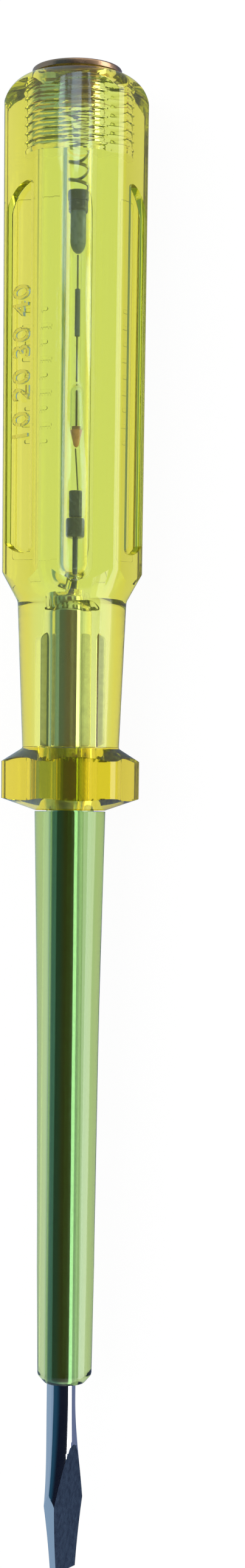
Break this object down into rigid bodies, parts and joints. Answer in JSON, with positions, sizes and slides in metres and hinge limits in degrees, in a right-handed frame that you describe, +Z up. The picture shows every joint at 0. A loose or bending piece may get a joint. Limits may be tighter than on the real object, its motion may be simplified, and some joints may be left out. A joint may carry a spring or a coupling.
{
  "type": "voltage tester screwdriver",
  "caption": "Clear hexagonal handle with a neon lamp, a resistor and a spring in its bore, a sleeved steel blade with a slotted tip, and a screwed metal contact cap.",
  "frame": {"origin": "middle of the overall length, below the tool's axis, on the plane that the handle rests on", "axes": "+Y along the tool from the blade's tip to the contact cap, +Z up from the flat of the handle that it rests on, +X to the right when the cap points away"},
  "size_m": [0.0184, 0.1898, 0.0166],
  "materials": {
    "handle_plastic": "clear yellow, moulded and turned",
    "sheath_plastic": "clear yellow-green",
    "blade_steel": "plated shank, ground tip",
    "cap_copper": "copper-coloured, satin",
    "spring_steel": "drawn wire",
    "resistor_cap_metal": "dark plated",
    "resistor_body": "dark lacquered ceramic",
    "lead_wire": "tinned",
    "lead_sleeving": "dark",
    "bulb_glass": "clear",
    "electrode_metal": "satin",
    "seal_coating": "pinkish orange",
    "contact_metal": "dark plated"
  },
  "bodies": {
    "handle": {"handle": "handle_plastic", "blade_sheath": "sheath_plastic", "blade": "blade_steel", "resistor_cap": "resistor_cap_metal", "resistor": "resistor_body", "resistor_lead": "lead_wire", "lead_sleeve": "lead_sleeving", "lamp_glass": "bulb_glass", "lamp_electrode_near": "electrode_metal", "lamp_electrode_far": "electrode_metal", "lamp_seal": "seal_coating", "lamp_lead": "lead_wire", "contact_sleeve": "contact_metal", "contact_base": "contact_metal"},
    "spring": {"contact_spring": "spring_steel"},
    "cap": {"contact_cap": "cap_copper"}
  },
  "joints": [
    {"name": "cap_travel", "type": "slide", "parent": "handle", "child": "spring", "axis": [0, 1, 0], "range_m": [0, 0.0044], "deforming": ["contact_spring"]},
    {"name": "cap_turn", "type": "hinge", "parent": "spring", "child": "cap", "pos_m": [0, 0.09336, 0.00831], "axis": [0, 1, 0], "range_deg": [0, 1440]}
  ],
  "couplings": [
    {"joint": "cap_turn", "follows": "cap_travel", "rad_per_m": 5712}
  ]
}
